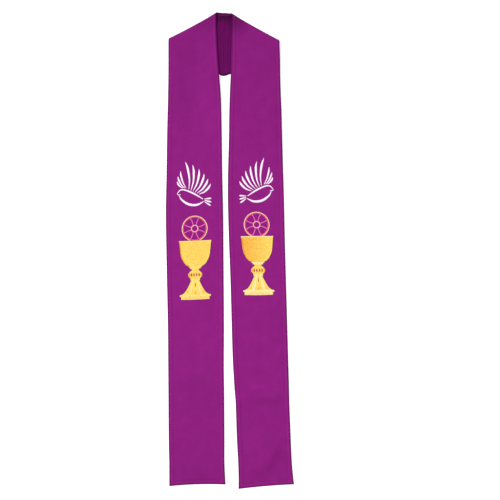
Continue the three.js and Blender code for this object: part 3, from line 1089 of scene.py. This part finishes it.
def sew(region, pad=0.6, longest=LONGEST_SATIN, base=0.0, shade=(0.5, 0.0)):
    """Fills a region with stitches. Returns their places (x, y, height) and shades."""
    steps = np.linspace(0, 1, 50)
    spans = []
    for v in (0, 0.5, 1):
        x, y = region(steps, 0 * steps + v)
        spans.append(np.hypot(np.diff(x), np.diff(y)).sum())
    count = max(2, round(max(spans) / PITCH))
    pieces = []
    for i in range(count):
        u = (i + 0.5) / count
        x, y = region(0 * steps + u, steps)
        length = np.hypot(np.diff(x), np.diff(y)).sum()
        parts = max(1, math.ceil(length / longest))
        marks = np.array([0.0, 1.0])
        if parts > 1:
            inner = (np.arange(1, parts + 1) - (i % FILL_SHIFTS) / FILL_SHIFTS) / parts
            inner = inner + random.uniform(-FILL_JITTER, FILL_JITTER, parts) / parts
            marks = np.unique(np.clip(np.r_[0, inner, 1], 0, 1))
        pieces += [(u, low, high) for low, high in zip(marks[:-1], marks[1:])]
    u, low, high = np.array(pieces).T[:, :, None]
    v = low + (high - low) * STITCH[:, 0]
    x, y = region(u + 0 * v, v)
    flatness = SATIN_CROWN if len(pieces) == count else FILL_CROWN
    padding = pad * (1 - np.abs(2 * v - 1) ** flatness)
    middle, rise = shade
    uneven = SHADE_SPREAD * random.standard_normal(len(pieces))
    shades = np.clip(middle + rise * x.mean(axis=1) / SHADE_REACH + uneven, 0, 1)
    return np.stack([x, y, base + padding + THREAD * STITCH[:, 2]], axis=2), shades


def cloth_top(name, x, up):
    """The height of the face cloth's upper surface, away from its seams."""
    return underside(name, x, up) + BAND_THICK + crease_height(name, x, up)


places, shades = sew(stroke([(0, 0, 1), (15, 3, 4), (30, 0, 1)]))
print("a trial stroke takes", len(places), "stitches")

# %% Threads as mesh
def thread_piece(piece, name, motif, sewn, material):
    """One piece of all the stitches in one colour. Each stitch is a closed, slightly flat tube."""
    places = np.concatenate([places for places, _ in sewn])
    shades = np.concatenate([shades for _, shades in sewn])
    x, up = on_band(name, motif, places[..., 0], places[..., 1])
    line = np.stack([x, up, cloth_top(name, x, up) + places[..., 2]], axis=2)

    ahead = np.gradient(line, axis=1)
    ahead /= np.linalg.norm(ahead, axis=2)[..., None]
    side = np.cross(ahead, [0.0, 0.0, 1.0])
    side /= np.linalg.norm(side, axis=2)[..., None]
    above = np.cross(side, ahead)
    turn = 2 * math.pi * np.arange(SIDES) / SIDES
    thick = (THREAD / 2 * STITCH[:, 1])[None, :, None, None]
    spread = np.cos(turn)[:, None] * side[:, :, None]
    spread = spread + FLATTENED * np.sin(turn)[:, None] * above[:, :, None]
    vertices = (line[:, :, None] + thick * spread - ORIGIN) * MM

    rings = len(STITCH)
    ring_at, k = np.meshgrid(np.arange(rings - 1), np.arange(SIDES), indexing="ij")
    near, far = ring_at * SIDES + k, ring_at * SIDES + (k + 1) % SIDES
    walls = np.stack([near, far, far + SIDES, near + SIDES], axis=-1).reshape(-1, 4)
    start = np.array([(3, 2, 1, 0), (5, 4, 3, 0)])
    one = np.concatenate([walls, start, start[:, ::-1] + (rings - 1) * SIDES])
    faces = (np.arange(len(places))[:, None, None] * rings * SIDES + one).reshape(-1, 4)

    made = add_mesh(piece, vertices.reshape(-1, 3), faces.tolist())
    mesh = made.data
    length = np.linalg.norm(line[:, -1] - line[:, 0], axis=1) * MM
    last_side = np.r_[k.ravel() == SIDES - 1, [False] * 4]
    turns = np.where((one % SIDES == 0) & last_side[:, None], SIDES, one % SIDES) / SIDES
    along = length[:, None, None] * STITCH[one // SIDES, 0]
    around = np.broadcast_to(turns, along.shape)
    mesh.uv_layers.new(name="thread").data.foreach_set("uv", np.stack([along, around], -1).ravel())
    shade = mesh.attributes.new("shade", "FLOAT", "POINT")
    # each stitch's own shade, times the painted shade toward its ends
    shade.data.foreach_set("value", np.repeat(np.outer(shades, STITCH[:, 3]), SIDES))
    mesh.shade_smooth()
    mesh.materials.append(material)
    return made


# %% Thread colours
TWIST = 1.1 * MM  # one turn of the two plies takes 0.9 mm in a real No. 40 thread
PLY_STRENGTH, PLY_DEPTH = 0.35, 0.03 * MM
# the colour of the white thread's painted glow
PAINTED_GLOW_COLOUR = "ff98ff"


def embroidery_thread(name, deep, light, painted_glow=0.0):
    """Trilobal polyester: its filaments have three flat sides, which give it a silky gloss.

    Bleached thread has a brightener in it, which turns unseen ultraviolet to a faint violet glow;
    here that glow is painted, as an emission of the white thread.
    """
    material, tree = new_material(name)
    shade = add_node(tree, "ShaderNodeAttribute", attribute_name="shade").outputs["Fac"]
    colour = add_node(
        tree, "ShaderNodeMix", {0: shade, 6: linear(deep), 7: linear(light)}, data_type="RGBA"
    )
    place = add_node(tree, "ShaderNodeUVMap", uv_map="thread").outputs["UV"]
    split = add_node(tree, "ShaderNodeSeparateXYZ", {"Vector": place})
    # the plies climb round the thread: two crests a turn
    turn = add_node(
        tree, "ShaderNodeMath", {0: split.outputs["X"], 1: 1 / TWIST, 2: split.outputs["Y"]},
        operation="MULTIPLY_ADD",
    )
    phase = add_node(
        tree, "ShaderNodeMath", {0: turn.outputs[0], 1: 4 * math.pi}, operation="MULTIPLY"
    )
    plies = add_node(tree, "ShaderNodeMath", {0: phase.outputs[0]}, operation="SINE")
    bump = add_node(tree, "ShaderNodeBump", {
        "Height": plies.outputs[0], "Strength": PLY_STRENGTH, "Distance": PLY_DEPTH,
    })
    shader = add_node(tree, "ShaderNodeBsdfPrincipled", {
        "Base Color": colour.outputs[2], "Roughness": 0.42, "Specular IOR Level": 0.35,
        "Emission Color": linear(PAINTED_GLOW_COLOUR), "Emission Strength": painted_glow,
        "Normal": bump.outputs[0],
    })
    add_node(tree, "ShaderNodeOutputMaterial", {"Surface": shader.outputs[0]})
    return material


THREADS = {
    # the white thread alone has a painted glow
    "white": embroidery_thread("white_trilobal_thread", "f0aee8", "fdfbfd", 0.10),
    "gold": embroidery_thread("gold_trilobal_thread", "f6a01a", "ffec76"),
    "pale_gold": embroidery_thread("pale_gold_trilobal_thread", "fad85c", "fff8d4"),
    "red": embroidery_thread("red_trilobal_thread", "9c2232", "ff4e74"),
    "rose": embroidery_thread("rose_trilobal_thread", "d83c9e", "f67ccc"),
}
SEWN = []  # each piece of embroidery with its thread's colour


def embroider(motif, name, colour, sewn, part=""):
    """Adds one colour of one motif on one band."""
    piece = thread_piece(f"{motif}{part}_{name}", name, motif, sewn, THREADS[colour])
    SEWN.append((piece, colour))
    print(piece.name, sum(len(places) for places, _ in sewn), "stitches")


print("threads:", list(THREADS))

# %% [markdown]
# ## The dove
#
# A dove in flight. Its body is three plain strokes. Each wing and the tail are a fan of feathers,
# turned and shortened by even steps. A feather swells toward its tip, and satin stitch shows it
# as a change in the length of its threads.

# %% Dove
TIP = 1.2  # the width of a stroke at its ends


def fan(first_root, last_root, first, last, count, bend, widest):
    """Feathers fanned from a root line. first and last are an angle in degrees and a length."""
    feathers = []
    for share in np.linspace(0, 1, count):
        root = np.array(first_root) * (1 - share) + np.array(last_root) * share
        turn, length = np.array(first) * (1 - share) + np.array(last) * share
        along = np.array([math.cos(math.radians(turn)), math.sin(math.radians(turn))])
        across = np.array([-along[1], along[0]])
        feathers.append([
            (*(root + length * at * along + 4 * bend * at * (1 - at) * across), width)
            for at, width in ((0, TIP), (0.35, 0.7 * widest), (0.75, widest), (1, TIP))
        ])
    return feathers


# x, y and width of each stroke of the body, from the dove's middle. It flies to the left.
BODY = [
    [(-44, -22, 1.2), (-35, -13, 3.0), (-22, -14, 3.4), (0, -24, 4.4), (22, -38, 1.4)],
    [(-39, -27, 1.2), (-31, -39, 4.4), (-14, -50, 6.2), (6, -52, 5.4), (24, -44, 1.4)],
    [(-44, -23, 1.2), (-40, -25, 2.2), (-35, -25, 1.2)],
]
NEAR_WING = fan((-14, -12), (12, -25), (97, 70), (40, 38), count=6, bend=-5, widest=5.6)
FAR_WING = fan((-29, -8), (-21, -9), (131, 22), (108, 46), count=3, bend=3, widest=4.4)
TAIL = fan((25, -38), (26, -45), (4, 18), (-34, 18), count=3, bend=0, widest=4.2)
DOVE = BODY + NEAR_WING + FAR_WING + TAIL
for name in BANDS:
    strokes = [sew(stroke(rows), pad=0.7, shade=(0.95, 0.0)) for rows in DOVE]
    embroider("dove", name, "white", strokes)

# %% [markdown]
# ## The host
#
# A round wafer, marked with a cross whose arms widen outward. The cloth shows through: only the
# rims, the hub and the eight lines of the cross are sewn. The lower part of the outer rim is
# left out, since the cup stands in front of it.

# %% Host
RIM_START, RIM_END = -67, 247
# radius of the middle, and width
RIM, RED_RING, HUB, HUB_LINING = (31.7, 1.7), (29.0, 3.0), (8.5, 1.4), (7.0, 1.6)


def turned(rows, quarter):
    """The rows of a stroke, turned by quarters of a circle."""
    c, s = ((1, 0), (0, 1), (-1, 0), (0, -1))[quarter]
    return [(x * c - y * s, x * s + y * c, width) for x, y, width in rows]


ARM_TAPER = math.tan(math.radians(22.5))  # an arm takes an eighth of the circle
CROSS_LINE = [(reach, reach * ARM_TAPER - bow, 2.6) for reach, bow in ((9, 0), (18, 1.2), (27, 0))]
for name in BANDS:
    embroider("host", name, "pale_gold", [
        sew(ring(*RIM, RIM_START, RIM_END), shade=(0.9, 0.0)), sew(ring(*HUB)),
    ], part="_rim")
    embroider("host", name, "red", [sew(ring(*RED_RING), pad=0.3, shade=(0.85, 0.0))], part="_ring")
    lines = [turned([(x, side * y, width) for x, y, width in CROSS_LINE], quarter)
             for quarter in range(4) for side in (-1, 1)]
    cross = [sew(stroke(rows), pad=0.2, shade=(0.6, 0.0)) for rows in lines]
    embroider("host", name, "rose", [*cross, sew(ring(*HUB_LINING))], part="_cross")

# %% [markdown]
# ## The chalice
#
# A turned metal cup: bowl, collar, knop, and a hollow foot on a plinth, each turned to a plain
# curve. The bowl is sewn in level courses that sag a little, as hoops on a round form do. The
# foot is sewn upright in flutes of two golds, so it looks round without any shading of its own.

# %% Profiles of the chalice
def turned_curve(low, high, start, end, power):
    """Heights and half widths along a curve: a power under 1 is quick at first, then slow."""
    return [(low + (high - low) * at, start + (end - start) * at**power)
            for at in np.linspace(0, 1, 8)]


def ball(low, high, narrow, wide):
    """Heights and half widths of a round swelling."""
    return [(low + (high - low) * at, narrow + (wide - narrow) * math.sin(math.pi * at))
            for at in np.linspace(0, 1, 9)]


# height and half width of each part, from the foot up
CHALICE = {
    "base": [(2, 36), (10, 36)],
    "flare": [(9, 38), (11.5, 40), (14, 38)],
    "foot": turned_curve(13, 52, 36, 9, 0.6),
    "step": [(50, 12), (54, 12)],
    "knop": ball(53, 75, 9, 18),
    "neck": [(74, 9), (80, 9)],
    "collar": [(79, 13), (83, 13)],
    "upper ring": [(82.5, 15), (86, 17)],
    "bowl": [*turned_curve(85, 112, 14, 36, 0.5), (149, 40)],
    "lip": [(148, 41), (151, 41)],
}
GOLD_FLUTE = (0.70, 0.0)  # the gold thread's shade in upright stitches
DARK_EDGE = (0.1, 0.0)  # and along the bowl's shaded side
FOOT_MARK_SHADE, KNOP_END_SHADE, RED_MARK_SHADE = 0.3, 0.1, 0.25
BASE_SHARE, FLUTE_SHARE = 0.68, 0.75  # of the pale gold's shade in the rings
FLUTES = [0, 0.17, 0.33, 0.67, 0.83, 1]  # gold and pale by turns, in shares of the width
BOWL_SAG, BASE_SAG = 2.6, 1.0  # how far a level course hangs at its middle
GOLD_UPRIGHT = ["knop", "neck"]
PALE_UPRIGHT = ["flare", "step", "collar", "upper ring", "lip"]
FLUTED = ["foot"]
# Small upright marks: x, lower end, upper end, width at the middle
KNOP_MARKS = [(x, 60, 68, 3.4) for x in (-10, -3.5, 3.5, 10)]
FOOT_LINE = [(0, 34, 44, 1.6)]
FOOT_MARKS = [(x, 16, 23, 3.6) for x in (-19, 0, 19)]
KNOP_ENDS = [(x, 60, 68, 3.0) for x in (-15.5, 15.5)]

# %% Sewing the chalice
def sew_marks(marks, shade):
    """Small upright marks that swell at the middle."""
    return [
        sew(stroke([(x, low, 1.0), (x, (low + high) / 2, widest), (x, high, 1.0)], slant=0.2),
            pad=0.3, base=0.9, shade=(shade, 0.0))
        for x, low, high, widest in marks
    ]


def chalice_stitches(shade, pale_shade, dark_side):
    """The stitches of a chalice by colour, the lowest layer first."""
    gold = [sew(courses(CHALICE["bowl"], BOWL_SAG), longest=LONGEST_FILL, pad=0.5, shade=shade)]
    gold += [sew(flutes(CHALICE[part]), shade=GOLD_FLUTE) for part in GOLD_UPRIGHT]
    base = courses(CHALICE["base"], BASE_SAG)
    pale = [sew(base, longest=LONGEST_FILL, pad=0.5, shade=(BASE_SHARE * pale_shade, 0.0))]
    pale += [sew(flutes(CHALICE[part]), pad=0.8, shade=(pale_shade, 0.0)) for part in PALE_UPRIGHT]
    for part in FLUTED:
        for i, (start, end) in enumerate(zip(FLUTES[:-1], FLUTES[1:])):
            shape = flutes(CHALICE[part], start, end)
            if i % 2:
                pale.append(sew(shape, shade=(FLUTE_SHARE * pale_shade, 0.0)))
            else:
                gold.append(sew(shape, shade=GOLD_FLUTE))
    for side, line in zip((-1, 1), edging(CHALICE["bowl"])):
        edge_shade = DARK_EDGE if side == dark_side else shade
        gold.append(sew(line, pad=0.4, base=0.5, shade=edge_shade))
    gold += sew_marks(FOOT_MARKS, FOOT_MARK_SHADE) + sew_marks(KNOP_ENDS, KNOP_END_SHADE)
    red = sew_marks(KNOP_MARKS + FOOT_LINE, RED_MARK_SHADE)
    return {"gold": gold, "pale_gold": pale, "red": red}


for name, motif in MOTIFS.items():
    sewn_by_colour = chalice_stitches(motif["gold"], motif["pale"], BANDS[name]["sign"])
    for colour, sewn in sewn_by_colour.items():
        embroider("chalice", name, colour, sewn, part=f"_{colour}")

# %% [markdown]
# ## What each piece is
#
# Nothing on a stole moves against the rest, so every piece rides on its one body. Each fine cloth
# stands in for its solid, and each thread takes a finish of its own, so that the stole can be
# recoloured by name: green or white for other seasons of the church's year.

# %% Every piece rides on the stole's one body
for (layer, name), piece in CLOTH.items():
    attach(piece, "root")
    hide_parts(f"{layer}_{name}")
for piece, colour in SEWN:
    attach(piece, "root")
print("pieces:", len(CLOTH), "of cloth and", len(SEWN), "of thread")

# %% The cut of each cloth
def cut_size(name):
    """The width and length of one unfolded half in metres, and its area in square metres."""
    rows = [row["cut"](np.array([0.0, 1.0])) * MM for row in ROWS[name][0]]
    outer, inner = np.stack(rows, axis=1)
    x, y = np.concatenate([outer, inner[::-1]]).T
    area = abs(np.sum(x * np.roll(y, 1) - y * np.roll(x, 1))) / 2
    return (float(np.ptp(x)), float(np.ptp(y))), float(area)


for (layer, name), piece in CLOTH.items():
    flat, area = cut_size(name)
    print(piece.name, "cut in mm:", [round(side / MM) for side in flat], "area:", round(area, 4))
